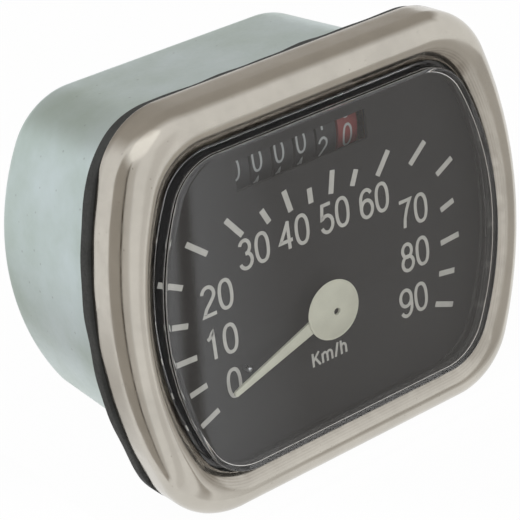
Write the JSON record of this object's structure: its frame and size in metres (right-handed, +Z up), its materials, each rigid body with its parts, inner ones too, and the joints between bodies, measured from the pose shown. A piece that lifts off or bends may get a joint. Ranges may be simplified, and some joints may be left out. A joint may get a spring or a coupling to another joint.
{
  "type": "dashboard speedometer",
  "caption": "Rounded-rectangle panel speedometer with a polished bezel, sweeping needle, drum odometer, eddy-current movement and a threaded cable drive at the back.",
  "frame": {"origin": "on the pointer's axis, where the cable neck's thread leaves its collar behind the case", "axes": "+X to the right of the dial, +Y from the dial towards the back, +Z up the dial"},
  "size_m": [0.0918, 0.0662, 0.077],
  "materials": {
    "zinc_plate": "zinc plated, dull with age",
    "nickel_bezel": "nickel plated, polished and lightly pitted",
    "clear_lens": "clear, lightly scratched",
    "black_rubber": "matt",
    "dial_black": "matt dark grey paint",
    "cream_paint": "satin cream paint",
    "bright_steel": "plain turned and sheet steel",
    "zinc_steel": "zinc plated",
    "brass": "machined",
    "cup_aluminium": "spun",
    "die_cast": "die cast",
    "keeper_steel": "pressed",
    "magnet_iron": "sintered",
    "drum_red": "moulded, faded",
    "drum_black": "moulded",
    "pale_nylon": "moulded",
    "bulb_glass": "clear"
  },
  "bodies": {
    "housing": {"case_shell": "zinc_plate", "bezel_ring": "nickel_bezel", "lens": "clear_lens", "lens_gasket": "black_rubber", "panel_gasket": "black_rubber", "dial_plate": "dial_black", "dial_rivets": "dial_black", "rest_pin": "bright_steel", "zero_lever": "bright_steel", "bridge_pillars": "bright_steel", "dial_pillars": "bright_steel", "frame_screws": "bright_steel", "gear_arbors": "bright_steel", "odometer_axle": "bright_steel", "axle_spacer": "bright_steel", "carrier_rod": "bright_steel", "pinion_carriers": "bright_steel", "gear_plate": "bright_steel", "odometer_bracket": "bright_steel", "rear_studs": "zinc_steel", "stud_washers": "zinc_steel", "stud_nuts": "zinc_steel", "lamp_holder": "zinc_steel", "hairspring": "brass", "front_bush": "brass", "movement_base": "die_cast", "movement_bridge": "die_cast", "shaft_bracket": "die_cast", "drive_neck": "die_cast", "lamp_bulb": "bulb_glass"},
    "drive": {"drive_spindle": "bright_steel", "spindle_clip": "bright_steel", "drive_worm": "brass", "keeper_cup": "keeper_steel", "magnet": "magnet_iron"},
    "pointer": {"pointer_needle": "cream_paint", "pointer_hub": "cream_paint", "pointer_spindle": "bright_steel", "speed_cup": "cup_aluminium", "hairspring_collet": "brass"},
    "cross": {"cross_shaft": "bright_steel", "worm_wheel": "brass", "cross_pinion": "brass"},
    "first_double": {"first_gear": "brass"},
    "second_double": {"second_gear": "brass"},
    "tenths": {"odometer_gear": "brass", "drum_tenths": "drum_red"},
    "units": {"drum_units": "drum_black"},
    "tens": {"drum_tens": "drum_black"},
    "hundreds": {"drum_hundreds": "drum_black"},
    "thousands": {"drum_thousands": "drum_black"},
    "ten_thousands": {"drum_ten_thousands": "drum_black"},
    "carry_1": {"carry_pinion_1": "pale_nylon"},
    "carry_2": {"carry_pinion_2": "pale_nylon"},
    "carry_3": {"carry_pinion_3": "pale_nylon"},
    "carry_4": {"carry_pinion_4": "pale_nylon"},
    "carry_5": {"carry_pinion_5": "pale_nylon"}
  },
  "joints": [
    {"name": "drive_spin", "type": "hinge", "parent": "housing", "child": "drive", "pos_m": [0, 0, 0], "axis": [0, 1, 0], "continuous": true},
    {"name": "pointer_sweep", "type": "hinge", "parent": "housing", "child": "pointer", "pos_m": [0, 0, 0], "axis": [0, 1, 0], "range_deg": [0, 220.8], "stiffness_Nm_per_rad": 0.00008, "springref_deg": -22.92},
    {"name": "cross_spin", "type": "hinge", "parent": "housing", "child": "cross", "pos_m": [0, -0.01295, 0.0087], "axis": [1, 0, 0], "continuous": true},
    {"name": "first_spin", "type": "hinge", "parent": "housing", "child": "first_double", "pos_m": [0, -0.01324, 0.02048], "axis": [1, 0, 0], "continuous": true},
    {"name": "second_spin", "type": "hinge", "parent": "housing", "child": "second_double", "pos_m": [0, -0.02111, 0.02925], "axis": [1, 0, 0], "continuous": true},
    {"name": "tenths_spin", "type": "hinge", "parent": "housing", "child": "tenths", "pos_m": [0, -0.0328, 0.0308], "axis": [1, 0, 0], "continuous": true},
    {"name": "units_spin", "type": "hinge", "parent": "housing", "child": "units", "pos_m": [0, -0.0328, 0.0308], "axis": [1, 0, 0], "continuous": true},
    {"name": "tens_spin", "type": "hinge", "parent": "housing", "child": "tens", "pos_m": [0, -0.0328, 0.0308], "axis": [1, 0, 0], "continuous": true},
    {"name": "hundreds_spin", "type": "hinge", "parent": "housing", "child": "hundreds", "pos_m": [0, -0.0328, 0.0308], "axis": [1, 0, 0], "continuous": true},
    {"name": "thousands_spin", "type": "hinge", "parent": "housing", "child": "thousands", "pos_m": [0, -0.0328, 0.0308], "axis": [1, 0, 0], "continuous": true},
    {"name": "ten_thousands_spin", "type": "hinge", "parent": "housing", "child": "ten_thousands", "pos_m": [0, -0.0328, 0.0308], "axis": [1, 0, 0], "continuous": true},
    {"name": "carry_1_spin", "type": "hinge", "parent": "housing", "child": "carry_1", "pos_m": [0, -0.02755, 0.0308], "axis": [1, 0, 0], "continuous": true},
    {"name": "carry_2_spin", "type": "hinge", "parent": "housing", "child": "carry_2", "pos_m": [0, -0.02755, 0.0308], "axis": [1, 0, 0], "continuous": true},
    {"name": "carry_3_spin", "type": "hinge", "parent": "housing", "child": "carry_3", "pos_m": [0, -0.02755, 0.0308], "axis": [1, 0, 0], "continuous": true},
    {"name": "carry_4_spin", "type": "hinge", "parent": "housing", "child": "carry_4", "pos_m": [0, -0.02755, 0.0308], "axis": [1, 0, 0], "continuous": true},
    {"name": "carry_5_spin", "type": "hinge", "parent": "housing", "child": "carry_5", "pos_m": [0, -0.02755, 0.0308], "axis": [1, 0, 0], "continuous": true}
  ],
  "couplings": [
    {"joint": "cross_spin", "follows": "drive_spin", "ratio": 0.038462},
    {"joint": "first_spin", "follows": "drive_spin", "ratio": -0.012821},
    {"joint": "second_spin", "follows": "drive_spin", "ratio": 0.0042735},
    {"joint": "tenths_spin", "follows": "drive_spin", "ratio": -0.0014245},
    {"joint": "units_spin", "follows": "drive_spin", "ratio": -0.00014245},
    {"joint": "tens_spin", "follows": "drive_spin", "ratio": -0.000014245},
    {"joint": "hundreds_spin", "follows": "drive_spin", "ratio": -0.0000014245},
    {"joint": "thousands_spin", "follows": "drive_spin", "ratio": -0.00000014245},
    {"joint": "ten_thousands_spin", "follows": "drive_spin", "ratio": -0.000000014245},
    {"joint": "carry_1_spin", "follows": "drive_spin", "ratio": -0.00047483},
    {"joint": "carry_2_spin", "follows": "drive_spin", "ratio": -0.000047483},
    {"joint": "carry_3_spin", "follows": "drive_spin", "ratio": -0.0000047483},
    {"joint": "carry_4_spin", "follows": "drive_spin", "ratio": -0.00000047483},
    {"joint": "carry_5_spin", "follows": "drive_spin", "ratio": -0.000000047483}
  ]
}
